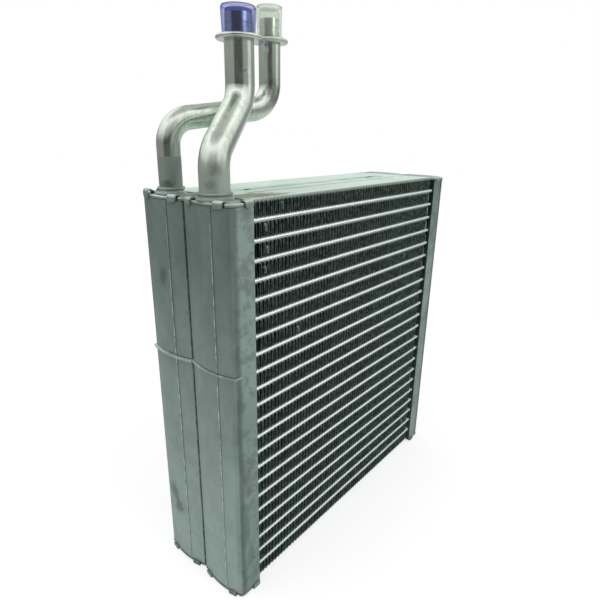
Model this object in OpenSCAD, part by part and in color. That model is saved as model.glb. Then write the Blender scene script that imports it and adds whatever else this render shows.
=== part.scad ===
// Evaporator core: four slotted tanks, two rows of flat tubes with corrugated fins between
// the levels, side plates, crimped end caps, flow baffles and two bent connection pipes.
// The origin is the centre of the footprint, in the plane of the lower end caps.
// X runs along the tubes, Y through the core with the air, and Z up.

/* [Tubes] */
// Number of tube levels, with one front and one rear tube each
tube_levels = 22; // [8:1:30]
// Spacing of the tube levels
tube_pitch = 10.8; // [8:0.1:14]
// Thickness of a flat tube
tube_thickness = 2.2; // [1.6:0.1:3]
// Channels through one tube
tube_channels = 6; // [3:1:8]
// Wall of a tube, round its channels and between them
tube_wall = 0.5; // [0.3:0.05:0.7]
// How far a tube reaches into each tank
tube_reach = 3; // [2:0.5:5]
// Tube edge behind the outer side of its tank
tube_inset = 1.5; // [1.3:0.1:4]
// Length of tube that shows between the tanks
core_width = 206.6; // [150:0.2:300]
// Depth of the groove along a tube's two edges
tube_groove = 0.25; // [0.1:0.05:0.4]

/* [Fins and side plates] */
// Waves in one fin strip
fin_waves = 32; // [16:1:50]
// Thickness of the fin sheet
fin_sheet = 0.25; // [0.1:0.05:0.4]
// Fin edge behind the tube edge
fin_setback = 0.3; // [0:0.1:4]
// Gap between a fin strip and the tanks
fin_end_gap = 1.2; // [0.5:0.1:4]
// Thickness of a side plate
plate_sheet = 1.1; // [0.8:0.1:2]
// Edge of a side plate behind the tube edge
plate_setback = 1.5; // [0:0.1:5]
// Gap between a side plate and the tanks
plate_end_gap = 0.8; // [0.3:0.1:3]
// Width of the channel rolled into a side plate
plate_channel_width = 15; // [6:0.5:30]
// Depth of that channel
plate_channel_depth = 0.6; // [0.2:0.05:0.7]
// Plain end of a side plate, before its channel starts
plate_plain_end = 22; // [10:1:50]
// Length over which the channel tapers out
plate_taper = 22; // [5:1:25]

/* [Tanks] */
// Tank size along X
tank_width = 18.6; // [16:0.1:26]
// Tank size along Y
tank_depth = 36.4; // [30:0.1:50]
// Sheet thickness of a tank
tank_wall = 1.2; // [0.8:0.1:1.3]
// Radius of a tank's two outer corners
tank_corner = 6; // [3:0.5:8]
// Radius of the crown of a tank's outer face
crown_radius = 55; // [45:1:120]
// Height of the seam bead above the outer face
seam_height = 0.35; // [0.1:0.05:0.5]
// Width of the seam bead
seam_width = 1; // [0.6:0.1:2]
// Distance of the seam from the middle of the tank
seam_offset = 6.1; // [0:0.1:9]
// Underside of the core above the plane of the lower caps
core_lift = 3.2; // [3.1:0.1:10]
// Upper caps above the top of the core
cap_rise = 0.5; // [0:0.1:6]

/* [End caps] */
// Height of a cap's rim over the tank end
rim_height = 2; // [1.2:0.1:3]
// How far a cap's rim stands out of the tank
rim_proud = 0.4; // [0.1:0.1:0.6]
// Height of the pad over the rim
pad_height = 1; // [0.5:0.1:1.7]
// Inset of the pad from the tank's outline
pad_inset = 1.5; // [1:0.1:3]
// Bevel round the rim and the pad
cap_bevel = 0.5; // [0.2:0.1:0.9]
// Depth of the plug inside the tank
plug_depth = 2.5; // [1:0.5:5]
// Width of a crimp tab
tab_width = 5; // [3:0.5:7]
// Thickness of a crimp tab
tab_sheet = 0.9; // [0.5:0.1:1.5]
// Length of a crimp tab down the tank wall
tab_drop = 2.6; // [1:0.2:6]
// Distance of the two outer tabs from the middle of the tank
tab_offset = 11.2; // [6:0.1:12]
// Notch in the rim beside a crimp tab
tab_notch = 0.8; // [0.3:0.1:1.5]
// Middle of the side tab from the tank's inner face
side_tab_place = 6; // [4:0.5:9]
// Height of the collar round a pipe, over the pad
collar_height = 2.9; // [1.5:0.1:8]
// Wall of that collar
collar_wall = 1.1; // [0.9:0.1:1.2]
// Height of the lip round the collar's top
collar_lip = 1; // [0.4:0.1:1.4]
// How far that lip stands out
lip_proud = 0.4; // [0.1:0.1:0.6]

/* [Baffles] */
// Height of the baffles above the plane of the lower caps
baffle_height = 156.6; // [60:0.1:190]
// Thickness of a baffle
baffle_sheet = 1.2; // [0.8:0.1:1.6]
// How far the front baffle's edge stands out of the tank
front_baffle_proud = 0.7; // [0.3:0.1:3]
// How far the rear baffle's edge stands out of the tank
rear_baffle_proud = 1.6; // [0.3:0.1:3]
// Tank wall left uncut beside a baffle's slot
baffle_web = 11; // [8:0.5:14]
// Height of the windows between the two left tanks
window_height = 10; // [4:1:14]
// Width of those windows
window_width = 7; // [3:0.5:9]
// Number of those windows
window_count = 4; // [1:1:4]

/* [Pipes] */
// Outside diameter of the front pipe, a five eighths inch tube
front_pipe_od = 15.88; // [12:0.01:16]
// Outside diameter of the rear pipe, a half inch tube
rear_pipe_od = 12.7; // [9:0.01:14]
// Wall of the pipes
pipe_wall = 1.2; // [0.8:0.1:1.6]
// Straight stretch of the front pipe above its cap
front_lead = 13; // [8:0.5:16]
// Angle of the two bends in the front pipe
front_bend = 52.5; // [45:0.5:60]
// Middle radius of the bends in the front pipe
front_radius = 16; // [14:0.5:18]
// Straight stretch of the rear pipe above its cap
rear_lead = 24.5; // [20:0.5:30]
// Angle of the two bends in the rear pipe
rear_bend = 82.5; // [75:0.5:86]
// Middle radius of the bends in the rear pipe
rear_radius = 14.5; // [12:0.5:16]
// Front pipe's end from the tank's inner face, along X
front_port_x = 23.4; // [20:0.1:26]
// Front pipe's end from the middle of the core, along Y
front_port_y = -3.9; // [-8:0.1:-3]
// Rear pipe's end from the tank's inner face, along X
rear_port_x = 54; // [50:0.5:58]
// Rear pipe's end from the middle of the core, along Y
rear_port_y = 3.1; // [3:0.1:8]
// Height of the front pipe's bead above the top of the core
front_port_rise = 77.5; // [76:0.1:90]
// Height of the rear pipe's bead above the top of the core
rear_port_rise = 80.4; // [76:0.1:90]
// Height of the beads
bead_height = 2.4; // [2:0.1:5]
// How far a bead stands out of its pipe
bead_proud = 4.4; // [2:0.1:6]

/* [Spigots and transit caps] */
// How much slimmer a spigot is than its pipe, on the diameter
spigot_step = 1.2; // [0.4:0.1:2]
// Length of a spigot over its bead
spigot_length = 10; // [8:0.5:12]
// Width of the groove rolled into a spigot
groove_width = 2.4; // [1.5:0.1:3]
// Depth of that groove
groove_depth = 0.5; // [0.2:0.1:0.6]
// Groove from the bead
groove_place = 3; // [2:0.5:5]
// Height of the front transit cap
front_transit_height = 13.7; // [13.5:0.1:22]
// Height of the rear transit cap
rear_transit_height = 16.8; // [13.5:0.1:22]
// Wall of a transit cap
transit_wall = 1.2; // [0.6:0.1:1.5]
// How far the front transit cap swells between its foot and its top
front_transit_swell = 0.65; // [0:0.05:1]
// How far the rear transit cap swells between its foot and its top
rear_transit_swell = 0.3; // [0:0.05:1]
// Height of the ring round the foot of the rear transit cap
transit_ring_height = 1.2; // [0.5:0.1:3]
// How far that ring stands out
transit_ring_proud = 0.5; // [0.1:0.1:1.5]
// Radius of the shoulder round the top of a transit cap
transit_shoulder = 1.6; // [0.5:0.1:2.2]

/* [Hidden] */
$fn = 64;
// Clearance of brazed and pushed joints
seat_gap = 0.05;
// Gap between a cap and the next tank's cap
cap_gap = 0.15;
// Clearance of a baffle in its slot
slot_gap = 0.1;
// Extra length of a cutter past what it cuts
cut = 1;
// Rings at the ends of a pipe's bends
ring_proud = 0.05;
ring_length = 0.6;
tube_width = tank_depth - 2 * tube_inset;
fin_height = tube_pitch - tube_thickness;
core_height = tube_levels * tube_pitch + fin_height + 2 * plate_sheet;
cap_height = rim_height + pad_height;
header_height = core_lift + core_height + cap_rise;
tank_length = header_height - 2 * cap_height;
top_tube_z = core_lift + core_height - plate_sheet - fin_height - tube_thickness / 2;
tab_lean = asin(tab_offset / crown_radius);
tab_face = crown_radius + rim_proud + seat_gap + tab_sheet;
// The baffles stand out on the left only, so the core sits off the origin by half the difference
right_reach = tank_width - crown_radius
    + max(crown_radius + rim_proud, tab_face * cos(tab_lean) + tab_width / 2 * sin(tab_lean));
left_reach = max(right_reach, tank_width + max(front_baffle_proud, rear_baffle_proud));
left_x = (left_reach - right_reach - core_width) / 2;
right_x = left_x + core_width;
front_bead_z = core_lift + core_height + front_port_rise;
rear_bead_z = core_lift + core_height + rear_port_rise;

function level_z(level) = top_tube_z - (level - 1) * tube_pitch;
function two_digits(n) = str(n < 10 ? "0" : "", n);
function tube_name(level) = str("tube_pair_", two_digits(level));
function fin_name(strip) = str("fin_strip_", two_digits(strip));

// Places a tank's own drawing: its inner face at x = 0, its outer face towards -x, y from 0 up
module left_tank_place(row) {
    translate([left_x, (row - 1) * tank_depth, 0]) children();
}

module right_tank_place(row) {
    translate([right_x, row * tank_depth, 0]) rotate([0, 0, 180]) children();
}

// Outline of a tank seen from above, drawn in by inset
module tank_outline(inset) {
    intersection() {
        union() {
            translate([-tank_width + tank_corner, inset])
                square([tank_width - tank_corner - inset, tank_depth - 2 * inset]);
            translate([-tank_width + inset, tank_corner])
                square([tank_corner - inset, tank_depth - 2 * tank_corner]);
            for (y = [tank_corner, tank_depth - tank_corner])
                translate([-tank_width + tank_corner, y]) circle(tank_corner - inset);
        }
        translate([-tank_width + crown_radius, tank_depth / 2]) circle(crown_radius - inset, $fn = 360);
    }
}

// Section of a flat tube, across Y and Z, with round edges
module flat_section(width, thickness) {
    translate([thickness / 2, -thickness / 2]) square([width - thickness, thickness]);
    for (y = [thickness / 2, width - thickness / 2])
        translate([y, 0]) circle(d = thickness);
}

// Extrudes a Y and Z section along X
module along_x(length) {
    rotate([90, 0, 90]) linear_extrude(length) children();
}

// Slots for the tubes of one row, through the tank's inner wall
module tube_slots() {
    for (level = [1:tube_levels])
        translate([-tank_wall - cut, tube_inset - seat_gap, level_z(level)])
            along_x(tank_wall + 2 * cut)
                flat_section(tube_width + 2 * seat_gap, tube_thickness + 2 * seat_gap);
}

module seam_bead() {
    translate([-tank_width + crown_radius, tank_depth / 2])
        rotate(asin(seam_offset / crown_radius))
            translate([-crown_radius - seam_height, -seam_width / 2])
                square([seam_height + tank_wall / 2, seam_width]);
}

// A roll-formed tank: one sheet folded round, with its seam on the outer face
module tank_shell() {
    difference() {
        translate([0, 0, cap_height]) linear_extrude(tank_length) difference() {
            union() {
                tank_outline(0);
                seam_bead();
            }
            tank_outline(tank_wall);
        }
        tube_slots();
    }
}

module baffle_slot() {
    translate([-tank_width - 2 * cut, -cut, baffle_height - slot_gap])
        cube([tank_width - baffle_web + 2 * cut, tank_depth + 2 * cut, baffle_sheet + 2 * slot_gap]);
}

// Windows through one wall between the front and rear tanks, one at every second gap from below
module crossover_windows() {
    left = -(tank_width - tank_corner + window_width) / 2;
    for (i = [1:window_count])
        translate([left, -cut, level_z(tube_levels + 1.5 - 2 * i) - window_height / 2])
            cube([window_width, tank_wall + 2 * cut, window_height]);
}

module tank_front_left() {
    color("darkseagreen") left_tank_place(0) difference() {
        tank_shell();
        baffle_slot();
        translate([0, tank_depth - tank_wall, 0]) crossover_windows();
    }
}

module tank_rear_left() {
    color("darkseagreen") left_tank_place(1) difference() {
        tank_shell();
        baffle_slot();
        crossover_windows();
    }
}

module tank_front_right() {
    color("darkseagreen") right_tank_place(0) tank_shell();
}

module tank_rear_right() {
    color("darkseagreen") right_tank_place(1) tank_shell();
}

// Outline of a cap's rim, proud of the tank but clear of the next tank's cap and of the core
module rim_outline(flank, inset) {
    gap = cap_gap + inset;
    intersection() {
        tank_outline(inset - rim_proud);
        translate([-2 * tank_width, flank == 0 ? -tank_depth : gap])
            square([2 * tank_width - gap, 2 * tank_depth - gap]);
    }
}

// A crimp tab: over the rim and down the outside of the wall that it faces in -x
module crimp_tab() {
    top = rim_height + min(tab_sheet, pad_height - seat_gap);
    translate([-rim_proud - seat_gap - tab_sheet, -tab_width / 2, -tab_drop])
        cube([tab_sheet, tab_width, tab_drop + top]);
    translate([-rim_proud - seat_gap - tab_sheet, -tab_width / 2, rim_height / 2])
        cube([rim_proud + pad_inset + cap_bevel + 2 * tab_sheet, tab_width, top - rim_height / 2]);
}

// The notch in the rim at one side of a crimp tab
module tab_notch() {
    translate([-rim_proud - cut, tab_width / 2 - slot_gap, -cut])
        cube([rim_proud + pad_inset / 2 + cut, tab_notch + slot_gap, rim_height + 2 * cut]);
}

// Puts a tab's drawing at the three places of an end cap
module at_tabs(flank) {
    for (turn = [-tab_lean, tab_lean])
        translate([-tank_width + crown_radius, tank_depth / 2, 0]) rotate(turn)
            translate([-crown_radius, 0, 0]) children();
    translate([-side_tab_place, flank * tank_depth, 0]) rotate(flank == 0 ? 90 : -90) children();
}

// An end cap, with z = 0 on the tank's end. flank 0 or 1 puts the side tab at y = 0 or the far side
module end_cap(flank, collar_bore) {
    collar_top = cap_height + collar_height;
    difference() {
        union() {
            translate([0, 0, -plug_depth]) linear_extrude(plug_depth + rim_height / 2)
                tank_outline(tank_wall + seat_gap);
            difference() {
                union() {
                    linear_extrude(rim_height) rim_outline(flank, cap_bevel);
                    translate([0, 0, cap_bevel]) linear_extrude(rim_height - 2 * cap_bevel)
                        rim_outline(flank, 0);
                }
                at_tabs(flank) tab_notch();
            }
            linear_extrude(cap_height - cap_bevel) tank_outline(pad_inset);
            linear_extrude(cap_height) tank_outline(pad_inset + cap_bevel);
            at_tabs(flank) crimp_tab();
            if (collar_bore > 0)
                translate([-tank_width / 2, tank_depth / 2, 0]) rotate_extrude() {
                    square([collar_bore / 2 + collar_wall - lip_proud, collar_top]);
                    translate([0, collar_top - collar_lip])
                        square([collar_bore / 2 + collar_wall, collar_lip]);
                }
        }
        if (collar_bore > 0)
            translate([-tank_width / 2, tank_depth / 2, -plug_depth - cut])
                cylinder(d = collar_bore, h = plug_depth + collar_top + 2 * cut);
    }
}

module on_top() {
    translate([0, 0, header_height - cap_height]) children();
}

module underneath() {
    translate([0, 0, cap_height]) mirror([0, 0, 1]) children();
}

module pipe_cap_front() {
    color("cadetblue") left_tank_place(0) on_top() end_cap(0, front_pipe_od + 2 * seat_gap);
}

module pipe_cap_rear() {
    color("cadetblue") left_tank_place(1) on_top() end_cap(1, rear_pipe_od + 2 * seat_gap);
}

// The six caps that carry no pipe, alike apart from the side of their third tab
module plain_end_caps() {
    color("cadetblue") for (row = [0, 1]) {
        left_tank_place(row) underneath() end_cap(row, 0);
        right_tank_place(row) on_top() end_cap(1 - row, 0);
        right_tank_place(row) underneath() end_cap(1 - row, 0);
    }
}

// A baffle closes its tank and keeps an ear that shows through the slot
module baffle(proud) {
    translate([0, 0, baffle_height]) linear_extrude(baffle_sheet) {
        tank_outline(tank_wall + seat_gap);
        intersection() {
            tank_outline(-proud);
            translate([-tank_width - 2 * proud, slot_gap])
                square([tank_width + 2 * proud - baffle_web - slot_gap, tank_depth - 2 * slot_gap]);
        }
    }
}

module baffle_front() {
    color("lightslategray") left_tank_place(0) baffle(front_baffle_proud);
}

module baffle_rear() {
    color("lightslategray") left_tank_place(1) baffle(rear_baffle_proud);
}

// An extruded tube with rectangular channels and a groove along its two edges
module flat_tube() {
    flat_width = tube_width - tube_thickness;
    channel_pitch = (flat_width + tube_wall) / tube_channels;
    along_x(core_width + 2 * tube_reach) difference() {
        flat_section(tube_width, tube_thickness);
        for (i = [0:tube_channels - 1])
            translate([tube_thickness / 2 + i * channel_pitch, tube_wall - tube_thickness / 2])
                square([channel_pitch - tube_wall, tube_thickness - 2 * tube_wall]);
        for (y = [0, tube_width])
            translate([y, 0]) square([2 * tube_groove, tube_groove], center = true);
    }
}

module tube_pair(level) {
    color("gainsboro") for (row = [0, 1])
        translate([left_x - tube_reach, (row - 1) * tank_depth + tube_inset, level_z(level)]) flat_tube();
}

// One corrugated strip, from the front row through to the rear row
module fin_strip(strip) {
    strip_length = core_width - 2 * fin_end_gap;
    strip_depth = 2 * (tank_depth - tube_inset - fin_setback);
    strip_height = fin_height - 2 * seat_gap;
    run = strip_length / fin_waves / 2;
    sheet_rise = fin_sheet * sqrt(1 + pow(strip_height / run, 2));
    swing = (strip_height - sheet_rise) / 2;
    function fold(i, offset) = [i * run, (i % 2 == 0 ? -swing : swing) + offset];
    color("darkslategray")
        translate([left_x + fin_end_gap, strip_depth / 2, level_z(strip) + tube_pitch / 2])
            rotate([90, 0, 0]) linear_extrude(strip_depth) polygon(concat(
                [for (i = [0:2 * fin_waves]) fold(i, -sheet_rise / 2)],
                [for (i = [2 * fin_waves:-1:0]) fold(i, sheet_rise / 2)]
            ));
}

// A side plate, with z = 0 on its face against the fins and the channel in its outer face
module side_plate() {
    plate_length = core_width - 2 * plate_end_gap;
    plate_width = 2 * (tank_depth - tube_inset - plate_setback);
    far = plate_length - plate_plain_end;
    half = plate_channel_width / 2;
    translate([left_x + plate_end_gap, 0, 0]) difference() {
        translate([0, -plate_width / 2, 0]) cube([plate_length, plate_width, plate_sheet]);
        translate([0, 0, plate_sheet - plate_channel_depth]) linear_extrude(plate_channel_depth + cut)
            polygon([
                [plate_plain_end, -1], [plate_plain_end + plate_taper, -half],
                [far - plate_taper, -half], [far, -1], [far, 1], [far - plate_taper, half],
                [plate_plain_end + plate_taper, half], [plate_plain_end, 1]
            ]);
    }
}

module side_plate_top() {
    color("honeydew") translate([0, 0, core_lift + core_height - plate_sheet]) side_plate();
}

module side_plate_bottom() {
    color("honeydew") translate([0, 0, core_lift + plate_sheet]) mirror([0, 0, 1]) side_plate();
}

// A round bend in the X and Z plane, its centre at the origin, from one angle on by turn degrees
module bend(from, turn, radius, od) {
    rotate([90, 0, 0]) rotate(from) rotate_extrude(angle = turn) translate([radius, 0]) circle(d = od);
}

// A slight ring where a straight stretch of pipe meets a bend, so that the two are one piece
module bend_ring(od) {
    translate([0, 0, -ring_length / 2]) cylinder(d = od + 2 * ring_proud, h = ring_length);
}

// A rod along a pipe's middle line: up, over by the bend angle, along, and up again
module pipe_run(od, foot, lead_top, top, span, bend_angle, radius) {
    side = span - 2 * radius * (1 - cos(bend_angle));
    slant = side / sin(bend_angle);
    upper = lead_top + 2 * radius * sin(bend_angle) + slant * cos(bend_angle);
    translate([0, 0, foot]) cylinder(d = od, h = lead_top - foot);
    translate([0, 0, lead_top]) bend_ring(od);
    translate([radius, 0, lead_top]) bend(180 - bend_angle, bend_angle, radius, od);
    translate([radius * (1 - cos(bend_angle)), 0, lead_top + radius * sin(bend_angle)])
        rotate([0, bend_angle, 0]) {
            bend_ring(od);
            cylinder(d = od, h = slant);
            translate([0, 0, slant]) bend_ring(od);
        }
    translate([span - radius, 0, upper]) bend(-bend_angle, bend_angle, radius, od);
    translate([span, 0, upper]) bend_ring(od);
    translate([span, 0, upper]) cylinder(d = od, h = top - upper);
}

// A connection pipe with its upset bead and slimmer, grooved spigot
module connection_pipe(od, row, lead, port_x, port_y, bead_z, bend_angle, radius) {
    base = [left_x - tank_width / 2, (row - 0.5) * tank_depth];
    port = [left_x + port_x, port_y];
    span = norm(port - base);
    heading = atan2(port[1] - base[1], port[0] - base[0]);
    foot = header_height - cap_height - plug_depth;
    spigot = od - spigot_step;
    spigot_top = bead_z + bead_height + spigot_length;
    translate([base[0], base[1], 0]) rotate(heading) difference() {
        union() {
            pipe_run(od, foot, header_height + lead, bead_z + bead_height / 2, span, bend_angle, radius);
            translate([span, 0, bead_z]) rotate_extrude() {
                square([od / 2 + bead_proud - bead_height / 2, bead_height]);
                translate([od / 2 + bead_proud - bead_height / 2, bead_height / 2])
                    circle(d = bead_height);
                square([spigot / 2, bead_height + groove_place]);
                square([spigot / 2 - groove_depth, bead_height + spigot_length]);
                translate([0, bead_height + groove_place + groove_width])
                    square([spigot / 2, spigot_length - groove_place - groove_width]);
            }
        }
        pipe_run(od - 2 * pipe_wall, foot - cut, header_height + lead, spigot_top + cut, span,
            bend_angle, radius);
    }
}

module pipe_front() {
    color("silver") connection_pipe(front_pipe_od, 0, front_lead, front_port_x, front_port_y,
        front_bead_z, front_bend, front_radius);
}

module pipe_rear() {
    color("silver") connection_pipe(rear_pipe_od, 1, rear_lead, rear_port_x, rear_port_y,
        rear_bead_z, rear_bend, rear_radius);
}

// A moulded cap pushed over a spigot down to the bead, with a swollen side and a round shoulder
module transit_cap(pipe_od, height, swell, ring) {
    bore = (pipe_od - spigot_step) / 2 + seat_gap;
    foot = bore + transit_wall;
    side_z = ring > 0 ? transit_ring_height : 0;
    shoulder_z = height - transit_shoulder;
    rotate_extrude() polygon(concat(
        [[bore, 0], [foot + ring, 0]],
        ring > 0 ? [[foot + ring, side_z], [foot, side_z]] : [],
        [for (turn = [30:30:150]) [foot + swell * sin(turn), side_z + (shoulder_z - side_z) * turn / 180]],
        [for (turn = [0:22.5:90]) [
            foot + transit_shoulder * (cos(turn) - 1),
            shoulder_z + transit_shoulder * sin(turn)
        ]],
        [[0, height], [0, height - transit_wall], [bore, height - transit_wall]]
    ));
}

module transit_cap_front() {
    color("slateblue")
        translate([left_x + front_port_x, front_port_y, front_bead_z + bead_height + seat_gap])
            transit_cap(front_pipe_od, front_transit_height, front_transit_swell, 0);
}

module transit_cap_rear() {
    color("ivory") translate([left_x + rear_port_x, rear_port_y, rear_bead_z + bead_height + seat_gap])
        transit_cap(rear_pipe_od, rear_transit_height, rear_transit_swell, transit_ring_proud);
}

tank_front_left();
tank_rear_left();
tank_front_right();
tank_rear_right();
pipe_cap_front();
pipe_cap_rear();
plain_end_caps();
baffle_front();
baffle_rear();
side_plate_top();
side_plate_bottom();
pipe_front();
pipe_rear();
transit_cap_front();
transit_cap_rear();
for (level = [1:tube_levels])
    tube_pair(level);
for (strip = [1:tube_levels + 1])
    fin_strip(strip);
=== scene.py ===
import math
import bmesh
import bpy
import numpy as np
from mathutils import Matrix, Vector


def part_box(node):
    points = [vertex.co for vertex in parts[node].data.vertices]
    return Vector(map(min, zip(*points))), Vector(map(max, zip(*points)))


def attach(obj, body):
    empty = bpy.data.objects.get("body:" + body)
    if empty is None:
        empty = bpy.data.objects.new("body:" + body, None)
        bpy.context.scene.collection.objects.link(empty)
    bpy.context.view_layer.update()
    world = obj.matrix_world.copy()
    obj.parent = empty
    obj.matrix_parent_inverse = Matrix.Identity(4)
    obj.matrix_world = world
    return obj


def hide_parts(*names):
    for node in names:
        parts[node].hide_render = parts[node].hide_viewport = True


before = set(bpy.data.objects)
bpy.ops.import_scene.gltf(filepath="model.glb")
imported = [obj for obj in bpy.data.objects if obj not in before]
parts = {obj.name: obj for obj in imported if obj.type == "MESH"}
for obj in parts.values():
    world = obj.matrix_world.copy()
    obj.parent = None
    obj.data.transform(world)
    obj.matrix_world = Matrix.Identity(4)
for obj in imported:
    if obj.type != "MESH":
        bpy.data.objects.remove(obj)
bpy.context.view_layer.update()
scene = bpy.context.scene


# Floor, light and camera
# A white disc stands in for the studio table. The world is white to the camera, and through the
# translucent caps. To the metal it is a room with a pale ceiling, brightest where it meets the walls,
# a pale back wall, and a dim bay on the side that the pictures are taken from.
def srgb(red, green, blue):
    """A colour as it looks on screen, 0 to 255, as the linear colour that the shaders take."""
    return tuple(((v / 255 + 0.055) / 1.055) ** 2.4 if v > 10 else v / 255 / 12.92
                 for v in (red, green, blue)) + (1.0,)


def node(tree, kind, inputs=None, **settings):
    """A shader or geometry node with its settings, and its inputs linked or set."""
    made = tree.nodes.new(kind)
    for name, value in settings.items():
        setattr(made, name, value)
    for name, value in (inputs or {}).items():
        if isinstance(value, bpy.types.NodeSocket):
            tree.links.new(value, made.inputs[name])
        else:
            made.inputs[name].default_value = value
    return made


def math_node(tree, operation, first, second=0.0, third=0.0, clamp=False):
    return node(tree, "ShaderNodeMath", {0: first, 1: second, 2: third},
                operation=operation, use_clamp=clamp).outputs[0]


def times(tree, *values):
    """The product of the values."""
    product, *others = values
    for value in others:
        product = math_node(tree, "MULTIPLY", product, value)
    return product


def vector_node(tree, operation, first, second=(0, 0, 0)):
    made = node(tree, "ShaderNodeVectorMath", {0: first, 1: second}, operation=operation)
    return made.outputs["Value" if operation in ("DOT_PRODUCT", "LENGTH") else "Vector"]


def axes_of(tree, place):
    """The x, y and z of a place."""
    return node(tree, "ShaderNodeSeparateXYZ", {0: place}).outputs


def ramp(tree, value, low, high, smooth=True):
    """0 at low and 1 at high, clamped, with soft ends."""
    return node(tree, "ShaderNodeMapRange", {"Value": value, "From Min": low, "From Max": high},
                interpolation_type="SMOOTHSTEP" if smooth else "LINEAR").outputs[0]


def mixed(tree, factor, first, second, blend="MIX"):
    made = node(tree, "ShaderNodeMix", data_type="RGBA", blend_type=blend)
    for socket, value in ((made.inputs[0], factor), (made.inputs[6], first), (made.inputs[7], second)):
        if isinstance(value, bpy.types.NodeSocket):
            tree.links.new(value, socket)
        else:
            socket.default_value = value
    return made.outputs[2]


def shade(tree, value, *stops):
    """A grey that follows its stops of (value, grey) from -1 to 1."""
    made = node(tree, "ShaderNodeValToRGB", {0: math_node(tree, "MULTIPLY_ADD", value, 0.5, 0.5)})
    bar = made.color_ramp.elements
    while len(bar) < len(stops):
        bar.new(0.5)
    for element, (at, grey) in zip(bar, stops):
        element.position = (at + 1) / 2
        element.color = (grey, grey, grey, 1)
    return made.outputs[0]


def seen_directly(tree):
    """1 for rays from the camera, also once they have passed through a translucent cap."""
    rays = node(tree, "ShaderNodeLightPath").outputs
    return math_node(tree, "MAXIMUM", rays["Is Camera Ray"], rays["Is Transmission Ray"])


white = (1, 1, 1, 1)
bay_towards = (-0.770, -0.638, 0.0)
window_towards = (0.638, -0.770, 0.0)
world = bpy.data.worlds.new("pale_room")
world.use_nodes = True
tree = world.node_tree
tree.nodes.clear()
place = node(tree, "ShaderNodeTexCoord").outputs["Generated"]
height = axes_of(tree, place)[2]
level = vector_node(tree, "NORMALIZE", vector_node(tree, "MULTIPLY", place, (1, 1, 0)))
to_bay = vector_node(tree, "DOT_PRODUCT", level, bay_towards)
to_window = vector_node(tree, "DOT_PRODUCT", level, window_towards)
sides = shade(tree, height, (-1, 0.5), (-0.5, 0.42), (-0.2, 0.34), (0.1, 0.28), (0.2, 0.42), (0.33, 0.84),
              (0.6, 1.05), (0.75, 1.3), (0.84, 1.2), (0.91, 0.64), (1, 0.55))
bay = shade(tree, height, (-1, 0.4), (-0.6, 0.24), (-0.3, 0.16), (-0.05, 0.14), (0.05, 0.05), (0.17, 0.05),
            (0.32, 0.38), (0.5, 0.5), (0.62, 0.75), (0.78, 1.2), (0.86, 1.05), (0.92, 0.62), (1, 0.55))
back = shade(tree, height, (-1, 0.55), (-0.3, 0.56), (0.1, 0.66), (0.35, 0.9), (0.5, 0.7), (0.7, 0.5),
             (1, 0.55))
room = mixed(tree, ramp(tree, to_bay, -0.82, -0.95), sides, back)
room = mixed(tree, ramp(tree, to_bay, 0.76, 0.90), room, bay)
window = times(tree, ramp(tree, to_window, 0.95, 0.985), ramp(tree, height, 0.0, 0.08),
               ramp(tree, height, 0.4, 0.3))
room = mixed(tree, window, room, (0.95, 0.95, 0.95, 1))
lit = node(tree, "ShaderNodeBackground", {"Color": room})
shown = node(tree, "ShaderNodeBackground", {"Color": white})
seen = node(tree, "ShaderNodeMixShader", {0: seen_directly(tree), 1: lit.outputs[0], 2: shown.outputs[0]})
node(tree, "ShaderNodeOutputWorld", {0: seen.outputs[0]})
scene.world = world
scene.view_settings.view_transform = "Standard"


def lamp(name, place, aim, width, watts):
    data = bpy.data.lights.new(name, "AREA")
    data.shape = "DISK"
    data.size = width
    data.energy = watts
    made = bpy.data.objects.new(name, data)
    made.location = place
    made.visible_glossy = False
    made.rotation_euler = (Vector(aim) - Vector(place)).to_track_quat("-Z", "Y").to_euler()
    scene.collection.objects.link(made)


lamp("overhead_lamp", (-0.35, 0.25, 1.45), aim=(0, 0, 0.2), width=0.9, watts=6.5)
lamp("front_lamp", (0.15, -1.5, 0.95), aim=(0, 0, 0.13), width=0.9, watts=12)

floor_radius = 0.62
sheet = bmesh.new()
bmesh.ops.create_circle(sheet, cap_ends=True, segments=96, radius=floor_radius)
floor_mesh = bpy.data.meshes.new("floor")
sheet.to_mesh(floor_mesh)
sheet.free()
floor = bpy.data.objects.new("floor", floor_mesh)
scene.collection.objects.link(floor)
paint = bpy.data.materials.new("white_table")
paint.use_nodes = True
tree = paint.node_tree
tree.nodes.clear()
matt = node(tree, "ShaderNodeBsdfDiffuse", {"Color": srgb(150, 150, 152)})
to_part = node(tree, "ShaderNodeEmission", {"Color": white, "Strength": 0.16})
to_camera = node(tree, "ShaderNodeEmission", {"Color": white, "Strength": 0.70})
glow = node(tree, "ShaderNodeMixShader", {0: seen_directly(tree), 1: to_part.outputs[0],
                                          2: to_camera.outputs[0]})
both = node(tree, "ShaderNodeAddShader", {0: matt.outputs[0], 1: glow.outputs[0]})
node(tree, "ShaderNodeOutputMaterial", {0: both.outputs[0]})
floor.data.materials.append(paint)

# The camera stands off the left tanks' inner faces and the underside of the core
tank_inner_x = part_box("tank_front_left")[1].x
core_foot_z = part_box("side_plate_bottom")[0].z
camera_data = bpy.data.cameras.new("camera")
camera_data.sensor_width = 36
camera_data.lens = 29.06
camera = bpy.data.objects.new("camera", camera_data)
camera_place = (tank_inner_x - 0.173067, -0.21074, core_foot_z + 0.28019)
camera_right = (0.641614, -0.766895, 0.014253)
camera_up = (0.24015, 0.218497, 0.945826)
camera_back = (-0.728464, -0.603433, 0.324361)
camera.matrix_world = Matrix.Translation(camera_place) @ Matrix(
    (camera_right, camera_up, camera_back)).transposed().to_4x4()
scene.collection.objects.link(camera)
scene.camera = camera


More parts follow.
